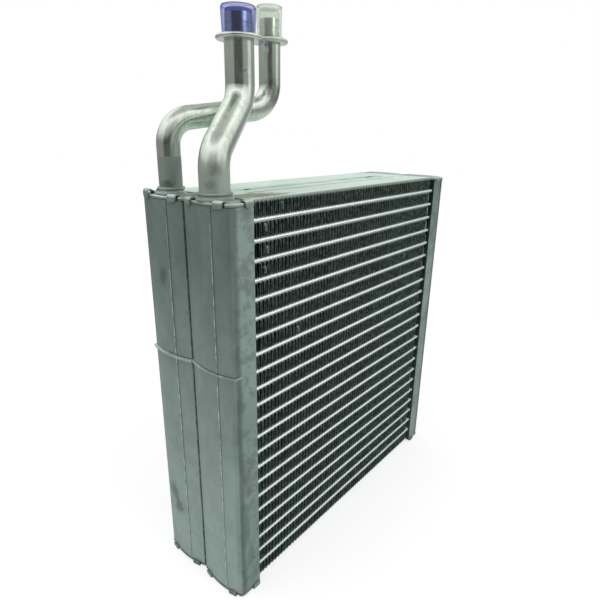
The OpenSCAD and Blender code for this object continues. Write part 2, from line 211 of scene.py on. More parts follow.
# Tanks
# Four roll-formed aluminium tanks, each one sheet folded round and brazed along a seam on its outer
# face. The furnace leaves them a dull grey green, mottled and speckled. A highlight is painted on each seam.
def group(name, inputs, outputs):
    """An empty node group with its named sockets, its input node and its output node."""
    made = bpy.data.node_groups.new(name, "ShaderNodeTree")
    kinds = {"value": "NodeSocketFloat", "colour": "NodeSocketColor", "vector": "NodeSocketVector"}
    for label, kind in inputs:
        made.interface.new_socket(label, in_out="INPUT", socket_type=kinds[kind])
    for label, kind in outputs:
        made.interface.new_socket(label, in_out="OUTPUT", socket_type=kinds[kind])
    return made, made.nodes.new("NodeGroupInput").outputs, made.nodes.new("NodeGroupOutput").inputs


def linear(tree, value, slope, start):
    """The value times slope, plus start."""
    return math_node(tree, "MULTIPLY_ADD", value, slope, start)


def minus(tree, first, second):
    return math_node(tree, "SUBTRACT", first, second)


def absolute(tree, value):
    return math_node(tree, "ABSOLUTE", value)


def noise(tree, place, scale, detail=3.0, rough=0.55):
    return node(tree, "ShaderNodeTexNoise", {"Vector": place, "Scale": scale, "Detail": detail,
                                             "Roughness": rough}).outputs["Fac"]


def squeezed(tree, place, *scale):
    """The place with each axis scaled, so that a pattern on it is drawn out where the scale is small."""
    return node(tree, "ShaderNodeMapping", {"Vector": place, "Scale": scale}).outputs[0]


# The brazing furnace's skin: broad clouds, fine grain and dark pits, all in object space
furnace_skin, ins, outs = group(
    "furnace_skin",
    [("Vector", "vector"), ("Light", "colour"), ("Dark", "colour"), ("Clouds", "value"), ("Pits", "value")],
    [("Color", "colour"), ("Roughness", "value"), ("Height", "value")])
tree = furnace_skin
clouds = ramp(tree, noise(tree, squeezed(tree, ins["Vector"], 1, 1, 0.45), 38, 5, 0.6), 0.36, 0.66)
grain = noise(tree, ins["Vector"], 900, 3, 0.6)
pits = ramp(tree, noise(tree, ins["Vector"], 260, 2, 0.5), 0.70, 0.80)
colour = mixed(tree, times(tree, clouds, ins["Clouds"]), ins["Light"], ins["Dark"])
colour = mixed(tree, times(tree, grain, 0.35), colour, ins["Dark"])
colour = mixed(tree, times(tree, pits, ins["Pits"]), colour, srgb(58, 66, 60))
tree.links.new(colour, outs["Color"])
tree.links.new(linear(tree, clouds, 0.12, 0.42), outs["Roughness"])
tree.links.new(minus(tree, grain, pits), outs["Height"])

# A blot, for stains and for painted shade: 1 in the middle of an uneven blot, 0 outside it
blot, ins, outs = group("blot", [("Vector", "vector"), ("Middle", "vector"), ("Reach", "vector")],
                        [("Mask", "value")])
tree = blot
off = vector_node(tree, "SUBTRACT", ins["Vector"], ins["Middle"])
far = vector_node(tree, "LENGTH", vector_node(tree, "DIVIDE", off, ins["Reach"]))
ragged = linear(tree, noise(tree, ins["Vector"], 330, 4, 0.65), 1.5, -0.75)
tree.links.new(ramp(tree, math_node(tree, "ADD", far, ragged), 1.0, 0.3), outs["Mask"])


def metal(name, light, dark, clouds, pits, metallic, bump, roughness=None):
    """An aluminium finish on the furnace skin. Returns the material, its tree, shader and place."""
    made = bpy.data.materials.new(name)
    made.use_nodes = True
    tree = made.node_tree
    tree.nodes.clear()
    place = node(tree, "ShaderNodeTexCoord").outputs["Object"]
    skin = node(tree, "ShaderNodeGroup", {"Vector": place, "Light": srgb(*light), "Dark": srgb(*dark),
                                          "Clouds": clouds, "Pits": pits}, node_tree=furnace_skin).outputs
    shader = node(tree, "ShaderNodeBsdfPrincipled", {
        "Base Color": skin["Color"], "Metallic": metallic,
        "Roughness": skin["Roughness"] if roughness is None else roughness})
    relief = node(tree, "ShaderNodeBump", {"Height": skin["Height"], "Strength": bump, "Distance": 0.0002})
    tree.links.new(relief.outputs[0], shader.inputs["Normal"])
    node(tree, "ShaderNodeOutputMaterial", {0: shader.outputs[0]})
    return made, tree, shader, place


def repaint(tree, shader, mask, strength, colour):
    """Lays a colour over what the shader's base colour shows, by mask times strength."""
    under = shader.inputs["Base Color"].links[0].from_socket
    laid = mixed(tree, times(tree, mask, strength), under, srgb(*colour))
    tree.links.new(laid, shader.inputs["Base Color"])


def stains_and_shade(tree, shader, place, strength, colour, *spots):
    """Blots at the given middles and reaches, in millimetres."""
    for middle, reach in spots:
        spot = node(tree, "ShaderNodeGroup", {"Vector": place, "Middle": [v / 1000 for v in middle],
                                              "Reach": [v / 1000 for v in reach]}, node_tree=blot)
        repaint(tree, shader, spot.outputs["Mask"], strength, colour)


def finish(material, *names):
    for name in names:
        slots = parts[name].data.materials
        slots.clear()
        slots.append(material)


# Sizes of one tank. Crown and crease are measured from the face that the tubes enter.
tank_wide = 0.0186
tank_deep = 0.0364
seam_aside = 0.0061
crown_in = 0.0120
crease_in = 0.0152
tank_finish, tree, shader, place = metal("tank_finish", (139, 159, 152), (112, 132, 125), clouds=0.7,
                                         pits=0.6, metallic=0.45, bump=0.35)
x, y, z = axes_of(tree, place)
aside = absolute(tree, y)
on_right = math_node(tree, "GREATER_THAN", x, 0.0)
on_left = math_node(tree, "LESS_THAN", x, 0.0)
on_flank = ramp(tree, aside, 0.0355, 0.0362)
on_crown = math_node(tree, "GREATER_THAN", absolute(tree, x), abs(tank_inner_x) + crown_in)
# Paler towards the foot, less so on the flanks, which are paler at the top
pale = ramp(tree, linear(tree, noise(tree, place, 30, 4), 0.05, z), 0.262, 0.012, False)
repaint(tree, shader, pale, linear(tree, on_flank, -0.62, 0.84), (190, 212, 204))
repaint(tree, shader, times(tree, on_flank, ramp(tree, z, 0.08, 0.22)), 0.3, (184, 206, 198))
# Blotches that the furnace leaves, strongest on the flanks
mottle = ramp(tree, noise(tree, place, 105, 5, 0.7), 0.45, 0.62)
repaint(tree, shader, mottle, linear(tree, on_flank, 0.36, 0.14), (90, 108, 94))
# The right tanks darker towards the top
repaint(tree, shader, times(tree, ramp(tree, z, 0.16, 0.25), on_right), 0.35, (70, 86, 77))
# The seams lie aside of each tank's middle, the left ones and the right ones to opposite sides
seam_y = math_node(tree, "ADD", y, linear(tree, on_right, -2 * seam_aside, tank_deep / 2 + seam_aside))
seam_off = math_node(tree, "PINGPONG", seam_y, tank_deep)
seam_off = math_node(tree, "MINIMUM", seam_off, minus(tree, tank_deep, seam_off))
# A painted highlight along each seam's bead, broken here and there and fading towards the top
highlight_breaks = ramp(tree, noise(tree, squeezed(tree, place, 1, 1, 0.3), 420, 3, 0.7), 0.42, 0.58)
seam_highlight = times(tree, ramp(tree, seam_off, 0.00032, 0.00018), on_crown, highlight_breaks, ramp(tree, z, 0.30, 0.16))
# Painted shade in a band beside each seam
repaint(tree, shader, times(tree, ramp(tree, seam_off, 0.0008, 0.0004), on_crown), 0.15, (92, 112, 104))
repaint(tree, shader, seam_highlight, 0.95, (236, 246, 238))
# Painted shade in the groove where front and rear tanks meet
groove_shade = math_node(tree, "ADD", aside, linear(tree, noise(tree, place, 240, 3), 0.0012, -0.0006))
repaint(tree, shader, times(tree, ramp(tree, groove_shade, 0.0011, 0.0004), on_crown), 0.75, (50, 62, 57))
# Painted shade along the crease where the flat flank turns into the crown
flank_in = minus(tree, absolute(tree, x), abs(tank_inner_x))
crease_off = absolute(tree, minus(tree, linear(tree, noise(tree, place, 45, 3), 0.003, flank_in), crease_in))
# Painted shade at the crease
crease = times(tree, ramp(tree, crease_off, 0.0036, 0.0003), ramp(tree, aside, 0.0300, 0.0345))
repaint(tree, shader, crease, 0.6, (78, 94, 86))
# Old coating and shade on the faces that the fins and tubes meet
right_shift = abs(tank_inner_x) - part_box("tank_front_right")[0].x
wall_in = linear(tree, on_right, right_shift, flank_in)
at_core = times(tree, ramp(tree, wall_in, 0.0007, 0.0002), math_node(tree, "LESS_THAN", aside, 0.0361))
repaint(tree, shader, at_core, 0.85, (26, 34, 31))
# A shadow line over each baffle's ear
front_top, rear_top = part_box("baffle_front")[1].z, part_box("baffle_rear")[1].z
ear_top = linear(tree, math_node(tree, "GREATER_THAN", y, 0.0), rear_top - front_top, front_top)
over_ear = minus(tree, z, ear_top)
ear_line = times(tree, ramp(tree, over_ear, 0.0009, 0.0004),
                 math_node(tree, "GREATER_THAN", over_ear, -0.0003), on_crown, on_left)
repaint(tree, shader, ear_line, 0.7, (58, 70, 64))
stains_and_shade(tree, shader, place, 0.6, (84, 98, 90), ((-121, 27, 52), (6, 8, 9)), ((-121, 22, 42), (6, 7, 8)),
      ((-121, 19, 205), (5, 5, 8)))
stains_and_shade(tree, shader, place, 0.5, (96, 112, 104), ((-112, -36.4, 88), (5, 3, 16)), ((-108, -36.4, 97), (4, 3, 8)),
      ((-110, -36.4, 30), (4, 3, 12)), ((-113, -36.4, 52), (3, 3, 18)))
# Painted shade down the front right tank's face by its corner, near the top
stains_and_shade(tree, shader, place, 0.9, (48, 62, 55), ((115.5, -36.3, 245.5), (1.1, 2, 5)))
finish(tank_finish, "tank_front_left", "tank_rear_left", "tank_front_right", "tank_rear_right")


# End caps and baffles
# Eight stamped aluminium caps, each with a rolled rim on the tank's end and three tabs bent over it.
# Two of them carry a collar for a pipe. Shade is painted in the grooves under and inside the rim and in
# the slits, and a highlight on the rim's worn crest and the tabs' bends. The baffles' ears show through slots
# in the left tanks.
cap_finish, *_ = metal("cap_finish", (174, 190, 181), (108, 122, 114), clouds=0.85, pits=0.9,
                       metallic=0.5, bump=0.6)
# Painted shade for the rim's grooves, a painted highlight for its worn crest and the tabs' bends, and painted
# shade for the slits
cap_crevice_shade, *_ = metal("cap_crevice_shade", (92, 106, 98), (58, 68, 62), clouds=0.8, pits=0.6, metallic=0.3, bump=0.6)
cap_wear_and_highlight, *_ = metal("cap_wear_and_highlight", (226, 240, 232), (140, 154, 146), clouds=1.0, pits=0.6,
                     metallic=0.5, bump=0.3)
cap_slit_shade, *_ = metal("cap_slit_shade", (40, 46, 43), (24, 28, 26), clouds=0.5, pits=0.0, metallic=0.0, bump=0.2)
cap_finishes = (cap_finish, cap_crevice_shade, cap_slit_shade, cap_wear_and_highlight)
plain_skin, crevice_shade, slit_shade, rubbed_and_lit = range(4)
tank_corner = 0.006
crown_radius = 0.055
cap_middle = np.array([-0.0090, tank_deep / 2])
cap_gap = 0.00013
rim_points = 104
tank_top_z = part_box("tank_front_left")[1].z
tank_foot_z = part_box("tank_front_left")[0].z
tank_outer_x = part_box("tank_front_right")[0].x


def inside_tank(x, y, inset):
    """Whether points lie within a tank's outline, drawn in by inset."""
    bend_x, bend_y = tank_corner - tank_wide, tank_corner
    wide = (x >= bend_x) & (x <= -inset) & (y >= inset) & (y <= tank_deep - inset)
    deep = (x >= inset - tank_wide) & (x <= bend_x) & (y >= bend_y) & (y <= tank_deep - bend_y)
    near = (x - bend_x) ** 2 + (y - bend_y) ** 2 <= (tank_corner - inset) ** 2
    far = (x - bend_x) ** 2 + (y - tank_deep + bend_y) ** 2 <= (tank_corner - inset) ** 2
    crown = (x + tank_wide - crown_radius) ** 2 + (y - tank_deep / 2) ** 2 <= (crown_radius - inset) ** 2
    return (wide | deep | near | far) & crown


def tank_edge(angles, inset):
    """Where the outline, drawn in by inset, is met at the given angles from the middle of the cap."""
    low, high = np.zeros(len(angles)), np.full(len(angles), 0.03)
    for _ in range(26):
        half = (low + high) / 2
        held = inside_tank(cap_middle[0] + half * np.cos(angles), cap_middle[1] + half * np.sin(angles), inset)
        low, high = np.where(held, half, low), np.where(held, high, half)
    return np.stack([cap_middle[0] + low * np.cos(angles), cap_middle[1] + low * np.sin(angles)], 1)


def crown_point(y):
    return np.array([crown_radius - tank_wide - math.sqrt(crown_radius ** 2 - (y - tank_deep / 2) ** 2), y])


# Inset from the tank's outline and height over its end, in mm, and 1 where shade is painted
rim_profile = [(1.35, -1.0, 0), (1.35, 0.04, 1), (0.2, 0.04, 1), (-0.02, 0.12, 1), (-0.26, 0.38, 0),
               (-0.40, 0.75, 0), (-0.42, 1.15, 0), (-0.32, 1.55, 0), (-0.04, 1.86, 0), (0.35, 1.98, 0),
               (0.75, 1.88, 0), (1.05, 1.58, 1), (1.4, 1.46, 1), (1.85, 1.66, 0), (2.5, 2.16, 0),
               (3.3, 2.48, 0), (4.0, 2.66, 0)]
# Rows painted as shade in the slits, and rows of the rim's worn crest painted as a highlight
slit_rows = range(2, 11)
rubbed_lit_rows = (7, 8)
# Share of the way out from the middle, and height in mm
dome = [(0.8, 2.82), (0.55, 2.92), (0.3, 2.96)]
dome_top = 0.00298
# Centre line of a bent tab, in mm: outward from the outline, and height
tab_line = [(0.78, -0.5), (0.98, 0.3), (1.02, 1.3), (0.85, 2.15), (0.35, 2.75), (-0.5, 2.95), (-1.6, 2.86),
            (-2.7, 2.72), (-3.4, 2.55)]
tab_gauge = 0.00042
tab_wide = 0.0056
# Places of the tabs, the crown's tabs turned a little with it, and of the slits beside them
crown_tab_y = 0.0070
crown_tab_turn = 0.205
flank_tab_x = -0.0036
slit_wide = 0.0010
crown_slit_y = 0.0032
flank_slit_x = -0.0072


def cap_slits(flank):
    """The slits beside the tabs, as pairs of angles round the cap. flank says which side has one: 0 or 1."""
    ends = [(crown_point(crown_slit_y), crown_point(crown_slit_y + slit_wide)),
            (crown_point(tank_deep - crown_slit_y - slit_wide), crown_point(tank_deep - crown_slit_y)),
            ((flank_slit_x, flank * tank_deep), (flank_slit_x + slit_wide, flank * tank_deep))]
    return [sorted(math.atan2(q[1] - cap_middle[1], q[0] - cap_middle[0]) % (2 * math.pi) for q in pair)
            for pair in ends]


def cap_mesh(mesh, to_row, flank, squashed, curl=0.0):
    """Adds a cap to mesh. to_row places the cap's own drawing, whose z = 0 is the tank's end."""
    fine = np.linspace(0, 2 * math.pi, 3000, endpoint=False)
    line = tank_edge(fine, 0.0)
    run = np.concatenate([[0], np.cumsum(np.linalg.norm(np.diff(line, axis=0), axis=1))])
    angles = list(np.interp(np.linspace(0, run[-1], rim_points, endpoint=False), run, fine))
    for corner in ((0, 0), (0, tank_deep)):
        middle = math.atan2(corner[1] - cap_middle[1], corner[0] - cap_middle[0]) % (2 * math.pi)
        angles += [middle - 0.02, middle, middle + 0.02]
    cut = cap_slits(flank)
    for start, end in cut:
        angles = [a for a in angles if not start - 0.012 < a < end + 0.012]
        angles += [start - 0.003, start, (start + end) / 2, end, end + 0.003]
    angles = np.array(sorted(angles))
    notched = np.array([any(start - 1e-6 <= a <= end + 1e-6 for start, end in cut) for a in angles])
    rings = []
    for inset, z, _ in rim_profile:
        edge = tank_edge(angles, inset / 1000)
        if 0.1 < z < 2.0 and inset < 1.0:
            edge[notched] = tank_edge(angles[notched], 0.0010)
        edge[:, 0] = np.minimum(edge[:, 0], -cap_gap)
        if flank:
            edge[:, 1] = np.maximum(edge[:, 1], cap_gap)
        else:
            edge[:, 1] = np.minimum(edge[:, 1], tank_deep - cap_gap)
        rings.append((edge, z / 1000))
    last = rings[-1][0]
    rings += [(cap_middle + (last - cap_middle) * share, z / 1000) for share, z in dome]
    points = [[mesh.verts.new(to_row(x, y, z)) for x, y in edge] for edge, z in rings]
    foot = mesh.verts.new(to_row(*cap_middle, rings[0][1]))
    top = mesh.verts.new(to_row(*cap_middle, dome_top))
    count = len(angles)
    for i in range(count):
        j = (i + 1) % count
        mesh.faces.new((foot, points[0][j], points[0][i]))
        mesh.faces.new((top, points[-1][i], points[-1][j]))
        for row in range(len(points) - 1):
            face = mesh.faces.new((points[row][i], points[row][j], points[row + 1][j], points[row + 1][i]))
            # Slit faces take painted shade, the grooves painted shade, and the worn crest a painted highlight
            slit = notched[i] and notched[j] and row in slit_rows
            in_crevice_shade = row < len(rim_profile) and rim_profile[row][2]
            face.material_index = (slit_shade if slit else crevice_shade if in_crevice_shade else rubbed_and_lit if row in rubbed_lit_rows
                                   else plain_skin)
    aside, ahead = math.sin(crown_tab_turn), math.cos(crown_tab_turn)
    for middle, out, rise in ((crown_point(crown_tab_y), (-ahead, -aside), 0.0),
                              (crown_point(tank_deep - crown_tab_y), (-ahead, aside), curl),
                              (np.array([flank_tab_x, flank * tank_deep]), (0, 1 if flank else -1), 0.0)):
        bent_tab(mesh, to_row, middle, np.array(out), squashed, rise)


def bent_tab(mesh, to_row, middle, out, squashed, curl):
    """A tab from the tank's wall over the rim, pressed down to the height squashed where that isn't 0."""
    sideways = np.array([-out[1], out[0]])
    line = np.array(tab_line) / 1000
    line[:, 1] += curl * np.sin(np.linspace(0.0, math.pi, len(line)))
    if squashed:
        line[:, 1] = np.minimum(line[:, 1], squashed)
    slope = np.gradient(line, axis=0)
    slope /= np.linalg.norm(slope, axis=1)[:, None]
    over = np.stack([slope[:, 1], -slope[:, 0]], 1) * tab_gauge
    widths = np.full(len(line), tab_wide / 2)
    widths[0] *= 0.78
    widths[-1] *= 0.86
    rows = []
    for (o, z), (po, pz), half in zip(line, over, widths):
        ring = []
        for across, push in ((-1, -1), (-1, 0.55), (-0.9, 1), (0.9, 1), (1, 0.55), (1, -1)):
            spot = middle + out * (o + po * push) + sideways * across * half
            ring.append(mesh.verts.new(to_row(spot[0], spot[1], z + pz * push)))
        rows.append(ring)
    for at, (near, far) in enumerate(zip(rows, rows[1:])):
        for k in range(6):
            face = mesh.faces.new((near[k], near[(k + 1) % 6], far[(k + 1) % 6], far[k]))
            # The tab's bend takes the worn, painted highlight
            face.material_index = rubbed_and_lit if at in (3, 4) else plain_skin
    mesh.faces.new(rows[0][::-1])
    mesh.faces.new(rows[-1])


def turned_ring(mesh, middle, profile, segments=64, closed=True):
    """Turns a profile of (radius, z) round a vertical line through middle."""
    rings = [[mesh.verts.new((middle[0] + r * math.cos(2 * math.pi * k / segments),
                              middle[1] + r * math.sin(2 * math.pi * k / segments), z))
              for k in range(segments)] for r, z in profile]
    if closed:
        rings.append(rings[0])
    for near, far in zip(rings, rings[1:]):
        for k in range(segments):
            mesh.faces.new((near[k], near[(k + 1) % segments], far[(k + 1) % segments], far[k]))
    return rings


def settle(name, mesh, materials, replaced, crease=50):
    """Turns a bmesh into a piece of the part, smooth but for its sharp edges."""
    bmesh.ops.recalc_face_normals(mesh, faces=mesh.faces)
    data = bpy.data.meshes.new(name)
    mesh.to_mesh(data)
    mesh.free()
    data.polygons.foreach_set("use_smooth", [True] * len(data.polygons))
    data.set_sharp_from_angle(angle=math.radians(crease))
    for material in materials:
        data.materials.append(material)
    piece = bpy.data.objects.new(name, data)
    scene.collection.objects.link(piece)
    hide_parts(replaced)
    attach(piece, "root")


def left_row(row, up):
    """Places a cap on a left tank, in row 0 or 1 from the front, on its upper or lower end."""
    return lambda x, y, z: (tank_inner_x + x, (row - 1) * tank_deep + y,
                            tank_top_z + z if up else tank_foot_z - z)


def right_row(row, up, tall=1.0):
    """Places a cap on a right tank, the lower ones flattened by tall."""
    return lambda x, y, z: (tank_outer_x - x, row * tank_deep - y,
                            tank_top_z + z if up else tank_foot_z - z * (tall if z > 0 else 1.0))


# A collar's section in mm: outward from the pipe's bore, and height over the tank's end
collar = ((0, 2.2), (0, 5.75), (0.25, 5.9), (0.85, 5.9), (1.1, 5.65), (1.12, 5.1), (0.95, 4.75), (0.62, 4.6),
          (0.55, 4.1), (0.7, 3.5), (1.2, 3.05), (1.9, 2.85), (2.0, 2.2))
for name, row, bore, curl in (("front", 0, 0.0080, 0.0), ("rear", 1, 0.0064, 0.0014)):
    shape = bmesh.new()
    cap_mesh(shape, left_row(row, True), row, squashed=0.0, curl=curl)
    turned_ring(shape, (tank_inner_x - tank_wide / 2, (row - 0.5) * tank_deep),
                [(bore + r / 1000, tank_top_z + z / 1000) for r, z in collar])
    settle(f"cap_{name}", shape, cap_finishes, f"pipe_cap_{name}")
# The tabs of the lower caps are pressed flat by the weight, those of the upper right ones even lower
shape = bmesh.new()
for row in (0, 1):
    cap_mesh(shape, left_row(row, False), row, squashed=0.00252)
    cap_mesh(shape, right_row(row, True), 1 - row, squashed=0.0018)
    cap_mesh(shape, right_row(row, False, tall=0.55), 1 - row, squashed=0.00252)
settle("plain_caps", shape, cap_finishes, "plain_end_caps")
baffle_finish, *_ = metal("baffle_finish", (218, 232, 224), (140, 154, 146), clouds=0.8, pits=0.5,
                          metallic=0.5, bump=0.5)
finish(baffle_finish, "baffle_front", "baffle_rear")


# Flat tubes
# Extruded aluminium tubes with bright drawn noses, in 22 levels, brazed into the tanks. A highlight is
# painted on the upper half of each nose and shade on its lower half, and shade painted between the
# brazed folds above leaves its upper edge toothed.
tube_pitch = 0.0108
fold_pitch = 0.00312


def level_off(tree, z, middle):
    """How far above the nearest level a height lies, for levels one tube pitch apart."""
    share = math_node(tree, "FRACT", linear(tree, z, 1 / tube_pitch, 40.5 - middle / tube_pitch))
    return times(tree, minus(tree, share, 0.5), tube_pitch)


tube_finish, tree, shader, place = metal("tube_finish", (222, 236, 229), (200, 216, 208), clouds=0.5,
                                         pits=0.2, metallic=0.15, bump=0.3, roughness=0.38)
x, _, z = axes_of(tree, place)
tube_off = level_off(tree, z, sum(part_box("tube_pair_01"), Vector()).z / 2)
# Painted shade on the lower half of each nose
repaint(tree, shader, ramp(tree, tube_off, 0.0001, -0.0002), 0.85, (180, 201, 192))
repaint(tree, shader, ramp(tree, x, 0.0, 0.09), 0.4, (176, 198, 188))
upper_light = times(tree, linear(tree, ramp(tree, z, 0.02, 0.17), 0.7, 0.2),
                    linear(tree, ramp(tree, x, 0.09, -0.06), 0.6, 0.4))
repaint(tree, shader, ramp(tree, tube_off, 0.0001, 0.0003), upper_light, (252, 255, 253))
middle_off = absolute(tree, math_node(tree, "ADD", tube_off, 0.00012))
middle_line = times(tree, ramp(tree, middle_off, 0.00026, 0.0001),
                    ramp(tree, noise(tree, place, 380, 2, 0.6), 0.36, 0.6))
repaint(tree, shader, middle_line, 0.75, (92, 112, 102))
# Painted shade between the brazed folds, along the upper edge of each nose
fold_turn = math_node(tree, "SINE", times(tree, x, 2 * math.pi / fold_pitch))
fold_turn = math_node(tree, "ADD", fold_turn, linear(tree, noise(tree, place, 260, 2), 1.6, -0.8))
fold_gap_shade = times(tree, ramp(tree, tube_off, 0.0005, 0.0008), ramp(tree, fold_turn, 0.0, 0.3))
repaint(tree, shader, fold_gap_shade, 0.22, (48, 62, 56))
finish(tube_finish, *[name for name in parts if name.startswith("tube_pair")])


# Side plates
# Two aluminium sheet plates with a rolled channel, brazed over the outer fins. Flux has left the top
# one stained.
plate_finish, tree, shader, place = metal("plate_finish", (195, 213, 202), (168, 190, 178), clouds=0.6,
                                          pits=0.3, metallic=0.1, bump=0.25, roughness=0.42)
x, y, _ = axes_of(tree, place)
edge_off = minus(tree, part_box("side_plate_top")[1].y, absolute(tree, y))
repaint(tree, shader, ramp(tree, edge_off, 0.0012, 0.0001), 0.5, (96, 108, 100))
# Painted shade, broken here and there, along both sides of the channel
channel_front_y, channel_rear_y = -0.0104, 0.0046
channel_off = math_node(tree, "MINIMUM", absolute(tree, minus(tree, y, channel_front_y)),
                        absolute(tree, minus(tree, y, channel_rear_y)))
in_channel = ramp(tree, absolute(tree, x), 0.086, 0.080)
broken = ramp(tree, noise(tree, squeezed(tree, place, 0.2, 1, 1), 60, 2), 0.30, 0.44)
repaint(tree, shader, times(tree, ramp(tree, channel_off, 0.0013, 0.0005), in_channel, broken), 0.95,
        (74, 90, 78))
stains_and_shade(tree, shader, place, 1.0, (106, 118, 82), ((-86, -22, 252), (22, 12, 4)), ((-98, -10, 252), (8, 14, 4)))
stains_and_shade(tree, shader, place, 0.85, (92, 98, 64), ((-78, -26, 252), (24, 4.5, 4)), ((-88, -15, 252), (15, 3, 4)),
      ((-99, -22, 252), (4, 10, 4)))
# Thin dark lines near the plate's ends
stains_and_shade(tree, shader, place, 0.9, (78, 94, 84), ((94.5, -20, 252), (0.9, 7, 4)), ((89, -13.5, 252), (6, 0.8, 4)),
      ((-102.4, -18, 252), (0.9, 17, 4)))
finish(plate_finish, "side_plate_top", "side_plate_bottom")


# Connection pipes
# Drawn aluminium pipes with two bends each, an upset bead and a slimmer spigot. They are satin where
# they were polished, smudged at the feet, and dull up to the line that the brazing flux reached.
pipe_finish, tree, shader, place = metal("pipe_finish", (226, 236, 224), (195, 205, 193), clouds=0.5,
                                         pits=0.4, metallic=1.0, bump=0.12)
_, y, z = axes_of(tree, place)
dull = ramp(tree, noise(tree, squeezed(tree, place, 1, 1, 0.25), 300, 4, 0.6), 0.48, 0.66)
repaint(tree, shader, dull, 0.2, (128, 142, 130))
stains_and_shade(tree, shader, place, 0.55, (110, 122, 110), ((-119, -22, 259), (5, 5, 3)), ((-116, -24, 266), (4, 4, 4)))
between_pipes_y = 0.0060
flux_top_z = 0.2710
on_rear = ramp(tree, y, between_pipes_y, between_pipes_y + 0.0005)
fluxed = times(tree, on_rear, ramp(tree, z, flux_top_z + 0.0002, flux_top_z - 0.0002))
repaint(tree, shader, fluxed, 0.85, (138, 156, 147))
front_foot = times(tree, minus(tree, 1.0, on_rear), ramp(tree, z, 0.2745, 0.2640))
repaint(tree, shader, front_foot, 0.55, (156, 172, 161))
stains_and_shade(tree, shader, place, 0.7, (86, 100, 92), ((-119, 14, 257), (6, 6, 3.5)))
stains_and_shade(tree, shader, place, 0.6, (112, 120, 100), ((-84, 10, 288), (17, 9, 5)), ((-50, 0, 306), (7, 7, 12)))
bead_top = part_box("transit_cap_front")[0].z
spigots = ramp(tree, z, bead_top + 0.0002, bead_top + 0.0012)
repaint(tree, shader, spigots, 0.3, (118, 128, 120))
# A painted dark reflection down one side of each spigot
reflection_towards = (-0.78, -0.62, 0)
reflection_reach = 1.4
for cap, spigot_radius in (("transit_cap_front", 0.0073), ("transit_cap_rear", 0.0058)):
    middle = sum(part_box(cap), Vector()) / 2
    outward = vector_node(tree, "SUBTRACT", place, (middle.x, middle.y, 0))
    outward = vector_node(tree, "MULTIPLY", outward, (1, 1, 0))
    toward = vector_node(tree, "DOT_PRODUCT", vector_node(tree, "NORMALIZE", outward), reflection_towards)
    near = math_node(tree, "LESS_THAN", vector_node(tree, "LENGTH", outward), reflection_reach * spigot_radius)
    repaint(tree, shader, times(tree, ramp(tree, toward, 0.88, 0.97), near, spigots), 0.9, (44, 50, 46))
# Less bare, and rougher, where flux and fingers have been
bare = linear(tree, spigots, -0.5, linear(tree, fluxed, -0.4, linear(tree, front_foot, -0.3, 1.0)))
tree.links.new(bare, shader.inputs["Metallic"])
matt = linear(tree, fluxed, 0.3, times(tree, front_foot, 0.22))
tree.links.new(math_node(tree, "ADD", matt, linear(tree, dull, 0.08, 0.19)), shader.inputs["Roughness"])
finish(pipe_finish, "pipe_front", "pipe_rear")


# Transit caps
# Soft translucent caps that keep the open pipes clean until the core is fitted, one blue and one milky.
# Each is a moulded cup with a flat, slightly skewed top. The spigots show through their walls.
def plastic(name, tint, ring, roughness, clearness, top_z):
    """A thin translucent plastic, with a ring of another colour at the top edge."""
    made = bpy.data.materials.new(name)
    made.use_nodes = True
    tree = made.node_tree
    tree.nodes.clear()
    place = node(tree, "ShaderNodeTexCoord").outputs["Object"]
    tint = srgb(*tint)
    colour = mixed(tree, noise(tree, place, 220, 2), tint, tuple(v * 0.9 for v in tint[:3]) + (1.0,))
    at_top = ramp(tree, axes_of(tree, place)[2], top_z - 0.0014, top_z - 0.0006)
    colour = mixed(tree, at_top, colour, srgb(*ring))
    # Painted shade: the colour deepens where the wall is seen edge-on
    grazing = node(tree, "ShaderNodeLayerWeight", {"Blend": 0.5}).outputs["Facing"]
    colour = mixed(tree, ramp(tree, grazing, 0.3, 0.6), colour, colour, "MULTIPLY")
    shader = node(tree, "ShaderNodeBsdfPrincipled", {
        "Base Color": colour, "Roughness": roughness, "IOR": 1.08, "Transmission Weight": clearness})
    node(tree, "ShaderNodeOutputMaterial", {0: shader.outputs[0]})
    return made


cup_sides = 72


def transit_cup(name, replaced, material, bore, outline, skew):
    """A cup from its outline of (radius, height) in mm, over a bore. Its top leans by skew."""
    low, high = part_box(replaced)
    middle = (low + high) / 2
    cup = bmesh.new()
    profile = [(bore, low.z)] + [(r / 1000, low.z + z / 1000) for r, z in outline]
    hollow = [(bore, low.z), (bore, high.z - 0.0026), (bore * 0.93, high.z - 0.0018),
              (0.55 * bore, high.z - 0.0017)]
    for section in (profile, hollow):
        last = turned_ring(cup, middle, section, cup_sides, closed=False)[-1]
        peak = cup.verts.new((middle.x, middle.y, section[-1][1]))
        for k in range(cup_sides):
            cup.faces.new((last[k], last[(k + 1) % cup_sides], peak))
    bmesh.ops.remove_doubles(cup, verts=cup.verts, dist=1e-6)
    for vert in cup.verts:
        share = max(0.0, (vert.co.z - low.z) / (high.z - low.z) - 0.45) / 0.55
        aside = ((vert.co.x - middle.x) - (vert.co.y - middle.y)) * 0.707
        vert.co.z -= skew * share * (aside + max(r for r, _ in profile))
    settle(name, cup, (material,), replaced, 35)


